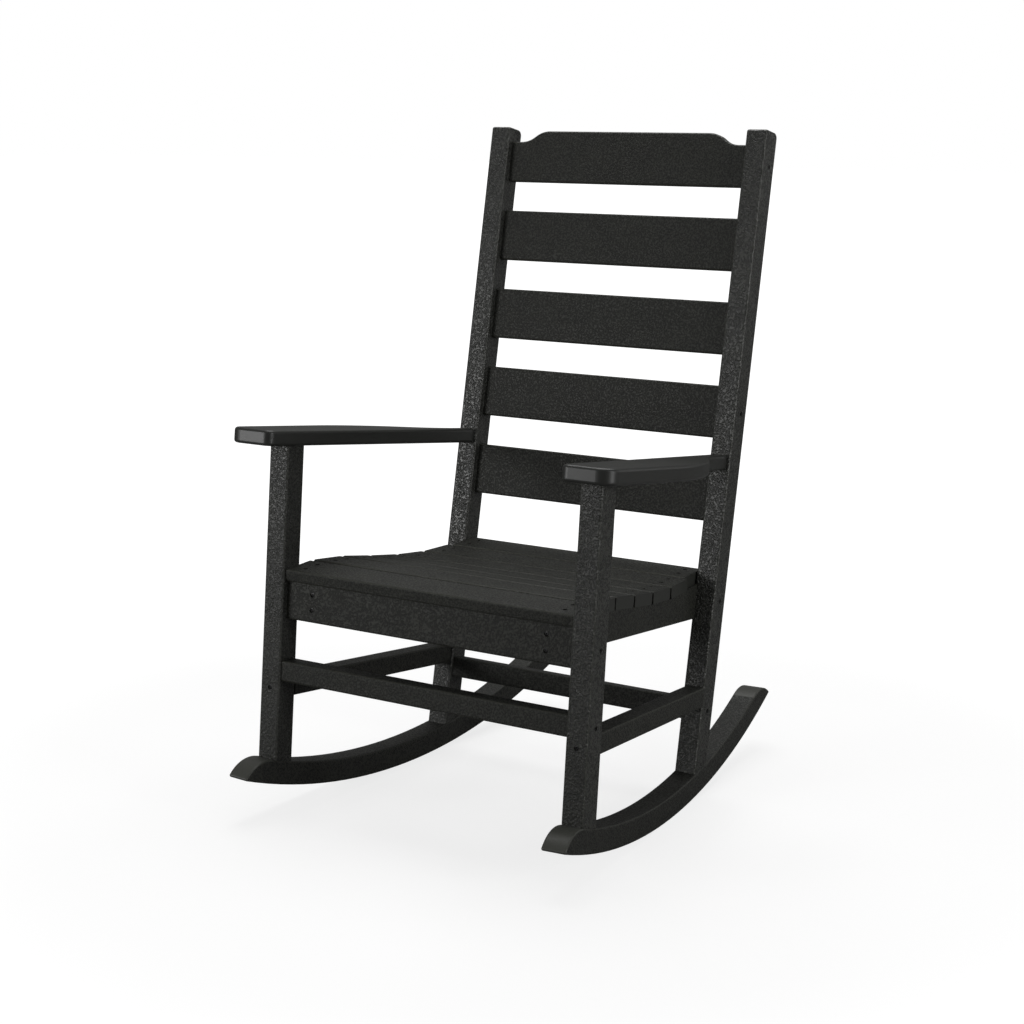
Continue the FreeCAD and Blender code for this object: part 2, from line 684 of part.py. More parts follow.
def add_screws(pieces):
    through_frame = FRAME_W - RECESS_DEPTH
    slat_heights = [slat_screw_height(CREST_INDEX), slat_screw_height(1)]
    fasten(pieces, "back_slat_screws", post_side_places(slat_heights), through_frame + HOLD_IN_END,
           paired("back_post") + ["back_slat_1", "back_slat_4"])
    fasten(pieces, "seat_rail_screws", post_side_places([rail_screw_height()]),
           through_frame + RAIL_SCREW_HOLD, paired("back_post") + paired("seat_rail"))
    fasten(pieces, "rear_stretcher_screws",
           post_side_places([REAR_STRETCHER_LOW + REAR_STRETCHER_H / 2]),
           through_frame + HOLD_IN_END, paired("back_post") + ["rear_stretcher"])
    apron_top = leg_height_of_seat()
    fasten(pieces, "apron_end_screws",
           leg_side_places(APRON_SETBACK + APRON_T / 2, (APRON_LOW + apron_top) / 2),
           through_frame + RAIL_SCREW_HOLD, paired("front_leg") + ["front_apron"])
    fasten(pieces, "front_stretcher_screws",
           leg_side_places(STRETCHER_SETBACK + STRETCHER_W / 2, FRONT_STRETCHER_LOW + FRONT_STRETCHER_H / 2),
           through_frame + HOLD_IN_END, paired("front_leg") + ["front_stretcher"])
    fasten(pieces, "side_stretcher_screws", side_stretcher_places(),
           FRAME_D - RECESS_DEPTH + HOLD_IN_END,
           paired("front_leg") + paired("back_post") + paired("side_stretcher"))
    fasten(pieces, "apron_screws", apron_screw_places(), APRON_T - RECESS_DEPTH + SEAT_SCREW_HOLD,
           ["front_apron"] + paired("apron_block"))
    fasten(pieces, "block_screws", block_screw_places(), BLOCK_W - RECESS_DEPTH + RAIL_SCREW_HOLD,
           paired("apron_block") + paired("seat_rail"))
    seat_places = []
    for index in range(SEAT_SLAT_COUNT):
        seat_places += seat_screw_places(index)
    slats = ["seat_slat_%d" % (index + 1) for index in range(SEAT_SLAT_COUNT)]
    fasten(pieces, "seat_screws", seat_places, SEAT_SLAT_T - RECESS_DEPTH + SEAT_SCREW_HOLD,
           slats + paired("seat_rail") + ["front_apron"])
    fasten(pieces, "rocker_screws", rocker_screw_places(), ROCKER_DEPTH - ROCKER_RECESS_DEPTH + HOLD_IN_LEG,
           paired("rocker") + paired("front_leg") + paired("back_post"), ROCKER_RECESS_DEPTH)
    fasten(pieces, "arm_screws", arm_screw_places(), FRAME_D - RECESS_DEPTH + HOLD_IN_END,
           paired("back_post") + paired("arm"))


def leg_height_of_seat():
    """How far up the leg the apron meets the front slat."""
    point, normal = seat_underside(0)
    start = leg_point(0, APRON_SETBACK + APRON_T / 2, 0)
    return (point - start).dot(normal) / LEG_UPWARDS.dot(normal)


def side_stretcher_places():
    front = leg_point(LEG_MIDDLE, 0, 0)
    front = front + LEG_UPWARDS * ((side_stretcher_middle(FRAME_D / 2) - front.z) / LEG_UPWARDS.z)
    back = post_point(POST_MIDDLE, FRAME_D, 0)
    level = side_stretcher_middle(POST_LINE_Y) - FRAME_D * tan(POST_LEAN)
    back = back + POST_UPWARDS * ((level - back.z) / POST_UPWARDS.z)
    return both_sides([(front, LEG_BACKWARDS), (back, POST_BACKWARDS * -1)])


def apron_screw_places():
    middle = BLOCK_LOW + BLOCK_H / 2
    across = block_inner() + BLOCK_W / 2
    return both_sides([(leg_point(across, APRON_SETBACK, middle + step), LEG_BACKWARDS)
                       for step in (-APRON_SCREW_SPREAD, APRON_SCREW_SPREAD)])


def block_screw_places():
    depth = APRON_SETBACK + APRON_T + BLOCK_D / 2
    return both_sides([(leg_point(block_inner(), depth, BLOCK_LOW + BLOCK_H / 2), X_AXIS)])


def arm_screw_places():
    """From the back of the post into the middle of the arm's tail."""
    across = ARM_TAIL_INNER + ARM_TAIL_W / 2
    tail = ARM_TAIL - ARM_UPWARDS * (ARM_T / 2)
    height = (tail.z + FRAME_D * sin(POST_LEAN)) / cos(POST_LEAN) - FRAME_D * tan(POST_LEAN - ARM_SLOPE)
    return both_sides([(post_point(across, FRAME_D, height), POST_BACKWARDS * -1)])


# The whole chair

def build():
    pieces = {}
    for node, right in (("rocker", rocker()), ("front_leg", front_leg()), ("back_post", back_post()),
                        ("side_stretcher", side_stretcher()), ("seat_rail", seat_rail()),
                        ("apron_block", apron_block()), ("arm", arm())):
        pieces[node + "_right"] = right
        pieces[node + "_left"] = mirrored(right)
    for node in paired("back_post"):
        pieces[node] = pieces[node].cut(mortises())
    pieces["front_stretcher"] = front_stretcher()
    pieces["rear_stretcher"] = rear_stretcher()
    pieces["front_apron"] = apron()
    for index in range(SEAT_SLAT_COUNT):
        pieces["seat_slat_%d" % (index + 1)] = seat_slat(index)
    for index in range(BACK_SLAT_COUNT):
        pieces["back_slat_%d" % (BACK_SLAT_COUNT - index)] = back_slat(index)
    add_studs(pieces)
    add_screws(pieces)
    return pieces


def write(pieces):
    """The origin lies on the floor, midway between the rockers' nose and tail."""
    reach = Part.makeCompound([pieces[node] for node in paired("rocker")]).optimalBoundingBox(False)
    to_origin = Vector(0, -(reach.YMin + reach.YMax) / 2, 0)
    os.makedirs("parts", exist_ok=True)
    for node, shape in pieces.items():
        moved = shape.copy()
        moved.translate(to_origin)
        moved.exportStep("parts/" + node + ".step")
    print("origin moved by", round(to_origin.y, 3), "and", len(pieces), "nodes written")


write(build())
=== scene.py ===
"""Looks for a slat-back rocking chair of extruded plastic boards.

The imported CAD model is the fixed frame, and its boards stay as they are. This script gives each
board its embossed, routed or sawn surfaces, puts detailed screws in place of the plain ones, and
sets up the floor, the light and the camera. Lengths are metres unless a name ends in mm.
Angles are degrees, and radians only in a board's turn.
"""

import logging
import math
from dataclasses import dataclass
from enum import Enum
from typing import Any

import bmesh
import bpy
import numpy as np
from mathutils import Euler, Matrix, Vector


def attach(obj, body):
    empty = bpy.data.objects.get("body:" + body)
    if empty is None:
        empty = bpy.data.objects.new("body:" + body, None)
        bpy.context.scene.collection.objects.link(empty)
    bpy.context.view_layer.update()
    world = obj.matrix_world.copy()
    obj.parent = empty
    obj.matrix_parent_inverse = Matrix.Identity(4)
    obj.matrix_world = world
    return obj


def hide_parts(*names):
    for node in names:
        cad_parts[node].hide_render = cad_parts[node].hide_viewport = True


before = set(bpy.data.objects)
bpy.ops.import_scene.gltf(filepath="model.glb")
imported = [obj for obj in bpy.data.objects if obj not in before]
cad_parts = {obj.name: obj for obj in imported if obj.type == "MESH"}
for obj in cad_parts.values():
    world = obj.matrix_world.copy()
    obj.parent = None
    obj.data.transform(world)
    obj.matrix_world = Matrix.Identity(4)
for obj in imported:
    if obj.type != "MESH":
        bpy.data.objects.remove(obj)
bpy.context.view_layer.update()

LOG = logging.getLogger("rocking_chair")
BODY = "root"
MM = 0.001
WHITE = (1.0, 1.0, 1.0, 1.0)

# How the frame's boards lean and toe in, as the solids do
LEG_LEAN = 5.53
POST_LEAN = 11.52
TOE_IN = 4.447
ROCKER_EXTRA_TOE = 0.5


class Grain(Enum):
    """The direction a board was extruded in, in its own frame."""

    ACROSS = 0
    FORWARDS = 1
    UPWARDS = 2


class Cut(Enum):
    """Which faces of a board were cut, and so have lost the skin of the extrusion."""

    ENDS = "sawn square at both ends"
    NOSE_AND_TAIL = "rounded over at both ends, with the skin left between them"
    ALL_ROUND = "routed all round"


# Shared helpers

def linear(srgb_hex: str) -> tuple[float, float, float, float]:
    """Turn an sRGB hex colour into the linear values that a shader takes.

    Args:
        srgb_hex: The colour as "#rrggbb".

    Returns:
        Red, green, blue and an alpha of one.
    """
    parts = [int(srgb_hex[i:i + 2], 16) / 255 for i in (1, 3, 5)]
    red, green, blue = [c / 12.92 if c <= 0.04045 else ((c + 0.055) / 1.055) ** 2.4 for c in parts]
    return red, green, blue, 1.0


def add_node(tree: bpy.types.NodeTree, kind: str, inputs: dict[Any, Any] | None = None,
             **settings: Any) -> bpy.types.Node:
    """Add a node with its settings, values and links.

    Args:
        tree: The node tree to add to.
        kind: Blender's name for the node's type.
        inputs: A value, or an output socket to link from, for each input by name or number.
        settings: The node's own properties.

    Returns:
        The new node.
    """
    node = tree.nodes.new(kind)
    for name, value in settings.items():
        setattr(node, name, value)
    for name, value in (inputs or {}).items():
        if isinstance(value, bpy.types.NodeSocket):
            tree.links.new(value, node.inputs[name])
        else:
            node.inputs[name].default_value = value
    return node


def maths(tree: bpy.types.NodeTree, operation: str, *values: Any) -> bpy.types.NodeSocket:
    """Add one sum to a tree.

    Args:
        tree: The node tree to add to.
        operation: The Math node's operation.
        values: Numbers or sockets, in the order of its inputs.

    Returns:
        The result's socket.
    """
    return add_node(tree, "ShaderNodeMath", dict(enumerate(values)), operation=operation).outputs[0]


def ramp_between(tree: bpy.types.NodeTree, value: Any, low: float, high: float,
                 start: float = 0.0, end: float = 1.0) -> bpy.types.NodeSocket:
    """Turn a value into a smooth step.

    Args:
        tree: The node tree to add to.
        value: The socket that carries the value.
        low: Where the step starts.
        high: Where the step ends.
        start: The result below the step.
        end: The result above the step.

    Returns:
        The result's socket.
    """
    node = add_node(tree, "ShaderNodeMapRange", {"Value": value, "From Min": low, "From Max": high,
                                                 "To Min": start, "To Max": end},
                    interpolation_type="SMOOTHSTEP", clamp=True)
    return node.outputs["Result"]


def blended(tree: bpy.types.NodeTree, share: Any, first: Any, second: Any) -> bpy.types.NodeSocket:
    """Mix two colours.

    Args:
        tree: The node tree to add to.
        share: How much of the second colour shows.
        first: A colour or a colour socket.
        second: A colour or a colour socket.

    Returns:
        The mixed colour's socket.
    """
    return add_node(tree, "ShaderNodeMix", {0: share, 6: first, 7: second}, data_type="RGBA").outputs[2]


def lean(degrees_x: float = 0.0, degrees_z: float = 0.0) -> tuple[float, float, float]:
    """The turn of a board: first about X, as it leans or tilts, then about Z, as it toes in."""
    return math.radians(degrees_x), 0.0, math.radians(degrees_z)


# Finishes

@dataclass(frozen=True)
class Lie:
    """How one board lies in the chair, so that its pattern and its cuts run true to it.

    A board that is cut at its nose and tail keeps its skin between two places along it. The turn is
    in radians.
    """

    grain: Grain
    cut: Cut = Cut.ENDS
    turn: tuple[float, float, float] = (0.0, 0.0, 0.0)
    # A board's tone; on the seat slats it also carries painted light
    shade: float = 1.0
    skin_from_mm: float = 0.0
    skin_to_mm: float = 0.0


@dataclass(frozen=True)
class BoardFinish:
    """Solid-coloured high-density polyethylene board, extruded and embossed.

    The rollers leave a fine pebbled skin on the faces, and its crests are painted lighter as a
    painted highlight. Rounded edges are smoothed in handling and are painted lighter too, as a
    painted highlight. Where a cutter went, the surface is smooth and satin with faint lines along
    the cut. The real pebbles are finer than the camera can show, so they are drawn coarser.
    """

    label: str
    skin: str = "#0c0d0b"
    # The pale tone: crests and rounded edges are painted towards it as a painted highlight, and the cutter's
    # lines too
    highlight_and_mark: str = "#30312d"
    cut_face: str = "#272826"
    pebble_mm: float = 3.4
    pebble_rise: tuple[float, float] = (0.4, 0.6)
    relief_mm: float = 0.16
    line_mm: float = 1.6
    line_relief_mm: float = 0.025
    line_stretch: float = 0.012
    cloud_mm: float = 38.0
    fade_mm: float = 1.0
    roughness: float = 0.5
    cut_roughness: float = 0.4
    gloss: float = 0.5
    cloud_tone: float = 0.5
    # The next two set how much lighter crests and rounded edges are painted, as a painted highlight
    crest_highlight_tone: float = 0.55
    edge_highlight_tone: float = 0.7
    line_tone: float = 0.5
    rubbed_smooth: float = 0.6
    hollow_rough: float = 0.08
    crest_satin: float = 0.12
    cloud_rough: float = 0.06
    rubbed_satin: float = 0.08
    line_rough: float = 0.12
    rounded_edge_facing: tuple[float, float] = (0.8, 0.985)
    side_facing: tuple[float, float] = (0.8, 0.95)
    end_facing: tuple[float, float] = (0.75, 0.95)

    def material(self, piece: str, lie: Lie) -> bpy.types.Material:
        """Build the finish for one board.

        Args:
            piece: The board's name, for the material's name.
            lie: How the board lies.

        Returns:
            The new material.
        """
        made = bpy.data.materials.new(f"{self.label}, {piece}")
        made.use_nodes = True
        tree = made.node_tree
        tree.nodes.clear()
        place, across = self._own_frame(tree, lie)
        faces = [maths(tree, "ABSOLUTE", across.outputs[i]) for i in range(3)]
        squarest = maths(tree, "MAXIMUM", maths(tree, "MAXIMUM", faces[0], faces[1]), faces[2])
        # Rounded edges: smoothed in handling, and painted lighter there as a painted highlight
        rubbed_and_highlit = ramp_between(tree, squarest, *self.rounded_edge_facing, 1.0, 0.0)
        cut = self._cut_mask(tree, lie, place, faces)
        pebbles = self._pebbles(tree, place)
        lines = self._lines(tree, place, lie.grain)
        cloud = add_node(tree, "ShaderNodeTexNoise", {"Vector": place, "Scale": 1 / (self.cloud_mm * MM),
                                                      "Detail": 3.0}).outputs["Fac"]
        colour = self._colour(tree, lie, pebbles, lines, cloud, rubbed_and_highlit, cut)
        rough = self._roughness(tree, pebbles, lines, cloud, rubbed_and_highlit, cut)
        bump = self._bump(tree, pebbles, lines, rubbed_and_highlit, cut)
        shader = add_node(tree, "ShaderNodeBsdfPrincipled", {
            "Base Color": colour, "Roughness": rough, "Normal": bump, "IOR": 1.5,
            "Specular IOR Level": self.gloss})
        add_node(tree, "ShaderNodeOutputMaterial", {"Surface": shader.outputs[0]})
        return made

    def _own_frame(self, tree: bpy.types.NodeTree,
                   lie: Lie) -> tuple[bpy.types.NodeSocket, bpy.types.Node]:
        """Turn object coordinates and normals back into the board's own frame.

        Args:
            tree: The material's tree.
            lie: How the board lies.

        Returns:
            The place on the board, and its normal split into three parts.
        """
        back = Euler(lie.turn, "XYZ").to_matrix().inverted().to_euler("XYZ")
        where = add_node(tree, "ShaderNodeTexCoord")
        place, normal = [add_node(tree, "ShaderNodeVectorRotate",
                                  {"Vector": where.outputs[name], "Rotation": back},
                                  rotation_type="EULER_XYZ").outputs[0] for name in ("Object", "Normal")]
        return place, add_node(tree, "ShaderNodeSeparateXYZ", {"Vector": normal})

    def _cut_mask(self, tree: bpy.types.NodeTree, lie: Lie, place: bpy.types.NodeSocket,
                  faces: list[bpy.types.NodeSocket]) -> Any:
        """Where the board has been cut.

        Args:
            tree: The material's tree.
            lie: How the board lies.
            place: The place on the board.
            faces: How squarely the surface faces each axis.

        Returns:
            A socket or a number, one on cut faces and nought on the skin.
        """
        if lie.cut is Cut.ALL_ROUND:
            return 1.0
        if lie.cut is Cut.NOSE_AND_TAIL:
            along = add_node(tree, "ShaderNodeSeparateXYZ", {"Vector": place}).outputs[1]
            start, stop, fade = lie.skin_from_mm, lie.skin_to_mm, self.fade_mm
            nose = ramp_between(tree, along, (start - fade) * MM, start * MM, 1.0, 0.0)
            tail = ramp_between(tree, along, stop * MM, (stop + fade) * MM)
            ends = maths(tree, "MAXIMUM", nose, tail)
            return maths(tree, "MULTIPLY", ends, ramp_between(tree, faces[0], *self.side_facing, 1.0, 0.0))
        return ramp_between(tree, faces[lie.grain.value], *self.end_facing)

    def _pebbles(self, tree: bpy.types.NodeTree, place: bpy.types.NodeSocket) -> bpy.types.NodeSocket:
        """Draw the embossed skin: short winding ridges, as high as one at their crests.

        Args:
            tree: The material's tree.
            place: The place on the board.

        Returns:
            The height's socket.
        """
        worms = add_node(tree, "ShaderNodeTexNoise", {
            "Vector": place, "Scale": 1 / (self.pebble_mm * MM), "Detail": 1.5, "Roughness": 0.45,
            "Distortion": 0.5}).outputs["Fac"]
        return ramp_between(tree, worms, *self.pebble_rise)

    def _lines(self, tree: bpy.types.NodeTree, place: bpy.types.NodeSocket,
               grain: Grain) -> bpy.types.NodeSocket:
        """Draw faint lines along the board, left by the die and by the cutter.

        Args:
            tree: The material's tree.
            place: The place on the board.
            grain: The way the board was extruded.

        Returns:
            The lines' socket.
        """
        stretch = [1.0, 1.0, 1.0]
        stretch[grain.value] = self.line_stretch
        drawn = add_node(tree, "ShaderNodeMapping", {"Vector": place, "Scale": stretch})
        return add_node(tree, "ShaderNodeTexNoise", {
            "Vector": drawn.outputs[0], "Scale": 1 / (self.line_mm * MM), "Detail": 2.0}).outputs["Fac"]

    def _colour(self, tree: bpy.types.NodeTree, lie: Lie, pebbles: Any, lines: Any, cloud: Any,
                rubbed_and_highlit: Any, cut: Any) -> bpy.types.NodeSocket:
        """Crests and rounded edges painted lighter, as a painted highlight, over a dark skin that clouds a
        little.

        Args:
            tree: The material's tree.
            lie: How the board lies, with its shade: its own tone, and on the seat slats painted light as
                well.
            pebbles: The embossing's height.
            lines: The faint lines.
            cloud: The slow change over the board.
            rubbed_and_highlit: Where rounded edges are smoothed, and painted lighter there as a highlight.
            cut: Where the board was cut.

        Returns:
            The colour's socket.
        """
        skin, highlight_and_mark, cut_face = [tuple(part * lie.shade for part in linear(tone)[:3]) + (1.0,)
                                  for tone in (self.skin, self.highlight_and_mark, self.cut_face)]
        clouded = maths(tree, "MULTIPLY", cloud, self.cloud_tone)
        # Painted highlight: the pebble crests and the rounded edges are lightened towards the pale tone
        highlight_and_cloud = maths(tree, "ADD", maths(tree, "MULTIPLY", pebbles, self.crest_highlight_tone), clouded)
        worn_and_highlit = maths(tree, "MULTIPLY", rubbed_and_highlit, self.edge_highlight_tone)
        highlight_and_cloud = add_node(tree, "ShaderNodeMath", {0: highlight_and_cloud, 1: worn_and_highlit}, operation="ADD",
                         use_clamp=True).outputs[0]
        surface = blended(tree, highlight_and_cloud, skin, highlight_and_mark)
        lined = blended(tree, maths(tree, "MULTIPLY", lines, self.line_tone), cut_face, highlight_and_mark)
        return blended(tree, cut, surface, lined)

    def _roughness(self, tree: bpy.types.NodeTree, pebbles: Any, lines: Any, cloud: Any,
                   rubbed_and_highlit: Any, cut: Any) -> bpy.types.NodeSocket:
        """Satin where it is cut or on a rounded edge, and rougher in the hollows of the skin.

        Args:
            tree: The material's tree.
            pebbles: The embossing's height.
            lines: The faint lines.
            cloud: The slow change over the board.
            rubbed_and_highlit: Where rounded edges are smoothed and painted lighter as a highlight; only the
                smoothing counts here.
            cut: Where the board was cut.

        Returns:
            The roughness's socket.
        """
        deepest = self.roughness + self.hollow_rough
        hollow = maths(tree, "MULTIPLY_ADD", pebbles, -self.crest_satin, deepest)
        hollow = maths(tree, "MULTIPLY_ADD", cloud, self.cloud_rough, hollow)
        skin = maths(tree, "MULTIPLY_ADD", rubbed_and_highlit, -self.rubbed_satin, hollow)
        least = self.cut_roughness - self.line_rough / 2
        satin = maths(tree, "MULTIPLY_ADD", lines, self.line_rough, least)
        share = add_node(tree, "ShaderNodeMix", {0: cut, 2: skin, 3: satin}, data_type="FLOAT")
        return share.outputs[0]

    def _bump(self, tree: bpy.types.NodeTree, pebbles: Any, lines: Any, rubbed_and_highlit: Any,
              cut: Any) -> bpy.types.NodeSocket:
        """The relief of the skin and of the cuts.

        Args:
            tree: The material's tree.
            pebbles: The embossing's height.
            lines: The faint lines.
            rubbed_and_highlit: Where rounded edges are smoothed and painted lighter as a highlight; only the
                smoothing counts here.
            cut: Where the board was cut.

        Returns:
            The bent normal's socket.
        """
        left = maths(tree, "MULTIPLY", maths(tree, "SUBTRACT", 1.0, cut),
                     maths(tree, "MULTIPLY_ADD", rubbed_and_highlit, -self.rubbed_smooth, 1.0))
        embossed = maths(tree, "MULTIPLY", maths(tree, "MULTIPLY", pebbles, left), self.relief_mm)
        lined = maths(tree, "MULTIPLY", lines, cut)
        height = maths(tree, "MULTIPLY_ADD", lined, self.line_relief_mm, embossed)
        return add_node(tree, "ShaderNodeBump", {"Height": height, "Distance": MM}).outputs[0]


@dataclass(frozen=True)
class ScrewFinish:
    """Steel screws with a baked black coating, which is satin and slightly uneven, with paler patches at
    random that are partly scuffs and partly a painted glint.
    """

    label: str = "Steel, cold headed and coated black"
    coating: str = "#1a1a1a"
    # The patches' paler tone: partly scuffed coating, partly a painted glint
    worn_and_highlit: str = "#4a4947"
    roughness: float = 0.26
    grit_mm: float = 0.5
    grit_relief_mm: float = 0.02
    grit_rough: float = 0.15
    wear_mm: float = 2.5
    wear_and_glint_rise: tuple[float, float] = (0.55, 0.75)

    def material(self) -> bpy.types.Material:
        """Build the finish for all screws and studs.

        Returns:
            The new material.
        """
        made = bpy.data.materials.new(self.label)
        made.use_nodes = True
        tree = made.node_tree
        tree.nodes.clear()
        where = add_node(tree, "ShaderNodeTexCoord").outputs["Object"]
        grit = add_node(tree, "ShaderNodeTexNoise", {"Vector": where, "Scale": 1 / (self.grit_mm * MM),
                                                     "Detail": 2.0}).outputs["Fac"]
        patch = add_node(tree, "ShaderNodeTexNoise", {"Vector": where, "Scale": 1 / (self.wear_mm * MM),
                                                      "Detail": 3.0}).outputs["Fac"]
        # Paler patches at random: partly scuffed coating, partly a painted glint
        wear_and_glint = ramp_between(tree, patch, *self.wear_and_glint_rise)
        colour = blended(tree, wear_and_glint, linear(self.coating), linear(self.worn_and_highlit))
        bump = add_node(tree, "ShaderNodeBump", {"Height": grit, "Distance": self.grit_relief_mm * MM})
        shader = add_node(tree, "ShaderNodeBsdfPrincipled", {
            "Base Color": colour, "Metallic": 0.3,
            "Roughness": maths(tree, "MULTIPLY_ADD", grit, self.grit_rough, self.roughness),
            "Normal": bump.outputs[0]})
        add_node(tree, "ShaderNodeOutputMaterial", {"Surface": shader.outputs[0]})
        return made


# The legs' and posts' broad faces carry a deep emboss, whose crests are painted pale as worm-like specks of
# painted highlight
FRAME_SKIN = BoardFinish("HDPE board, extruded with a deep emboss", pebble_mm=3.6, relief_mm=1.0,
                         skin="#060705", highlight_and_mark="#3f403b", roughness=0.38, gloss=0.55)
# Slats, rails and stretchers come from a finer roller and look almost even from a step away
SLAT_SKIN = BoardFinish("HDPE board, extruded with a fine emboss", pebble_mm=3.0, relief_mm=0.5,
                        skin="#0a0b09", highlight_and_mark="#34352f", gloss=0.36)
# A rocker's top is rounded over at both ends with a cutter, and the fresh faces look paler
ROCKER_SKIN = BoardFinish("HDPE board, extruded with a fine emboss and rounded over", pebble_mm=3.0,
                          relief_mm=0.5, highlight_and_mark="#32332e", cut_face="#4b4c47", gloss=0.4)
# Arms are routed on every face, which leaves a smooth satin surface that takes the light
ARM_SURFACE = BoardFinish("HDPE board, routed all round", relief_mm=0.0, cut_roughness=0.4)


def dress(node: str, finish: BoardFinish, lie: Lie) -> None:
    """Give one board of the frame its finish.

    Args:
        node: The board's name.
        finish: The surface it has.
        lie: How it lies.
    """
    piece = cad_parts[node]
    piece.data.materials.clear()
    piece.data.materials.append(finish.material(node.replace("_", " "), lie))
    LOG.info("dressed %s", node)


# Sub-assemblies

@dataclass
class BaseFrame:
    """Front legs, back posts, rockers and the stretchers between them."""

    leg_lean: float = LEG_LEAN
    post_lean: float = POST_LEAN
    toe_in: float = TOE_IN
    rocker_toe_in: float = TOE_IN + ROCKER_EXTRA_TOE
    rocker_skin_mm: tuple[float, float] = (-384.4, 323.0)
    stretcher_fall: float = 5.23

    def dress(self) -> None:
        """Give every board of the base its finish."""
        for side, way in (("left", -1), ("right", 1)):
            toe = way * self.toe_in
            skin_from, skin_to = self.rocker_skin_mm
            dress(f"front_leg_{side}", FRAME_SKIN, Lie(Grain.UPWARDS, turn=lean(-self.leg_lean)))
            dress(f"back_post_{side}", FRAME_SKIN,
                  Lie(Grain.UPWARDS, turn=lean(-self.post_lean), shade=0.97))
            dress(f"rocker_{side}", ROCKER_SKIN,
                  Lie(Grain.FORWARDS, Cut.NOSE_AND_TAIL, lean(0, way * self.rocker_toe_in),
                      skin_from_mm=skin_from, skin_to_mm=skin_to))
            dress(f"side_stretcher_{side}", SLAT_SKIN,
                  Lie(Grain.FORWARDS, turn=lean(-self.stretcher_fall, toe), shade=0.98))
        dress("front_stretcher", SLAT_SKIN, Lie(Grain.ACROSS, turn=lean(-self.leg_lean), shade=1.02))
        dress("rear_stretcher", SLAT_SKIN, Lie(Grain.ACROSS, turn=lean(-self.post_lean)))


@dataclass
class Seat:
    """Scooped slats on side rails, with the front apron and its corner blocks."""

    tilts: tuple[float, ...] = (2.4, -5.3, -9.9, -8.8, -5.7, -0.4, 1.6)
    # Painted light: the seat slats are lightened well past their own tone, most at the rear, to brighten the
    # seat's top faces
    shades: tuple[float, ...] = (1.1, 1.16, 1.1, 1.14, 1.2, 1.3, 1.3)
    leg_lean: float = LEG_LEAN
    toe_in: float = TOE_IN

    def dress(self) -> None:
        """Give every board of the seat its finish."""
        for index, (tilt, shade) in enumerate(zip(self.tilts, self.shades), 1):
            dress(f"seat_slat_{index}", SLAT_SKIN, Lie(Grain.ACROSS, turn=lean(tilt), shade=shade))
        dress("front_apron", SLAT_SKIN, Lie(Grain.ACROSS, turn=lean(-self.leg_lean)))
        for side, way in (("left", -1), ("right", 1)):
            dress(f"seat_rail_{side}", SLAT_SKIN, Lie(Grain.FORWARDS, turn=lean(0, way * self.toe_in)))
            dress(f"apron_block_{side}", SLAT_SKIN, Lie(Grain.UPWARDS, turn=lean(-self.leg_lean)))


@dataclass
class Back:
    """Five slats between the posts, the top one shaped."""

    lean_back: float = POST_LEAN
    shades: tuple[float, ...] = (1.0, 0.97, 1.0, 0.98, 1.03)

    def dress(self) -> None:
        """Give every slat of the back its finish."""
        for index, shade in enumerate(self.shades, 1):
            dress(f"back_slat_{index}", SLAT_SKIN,
                  Lie(Grain.ACROSS, turn=lean(-self.lean_back), shade=shade))


@dataclass
class Arms:
    """Two flat arms that fall backwards."""

    fall: float = 7.24

    def dress(self) -> None:
        """Give both arms their finish."""
        for side in ("left", "right"):
            dress(f"arm_{side}", ARM_SURFACE, Lie(Grain.FORWARDS, Cut.ALL_ROUND, lean(-self.fall)))


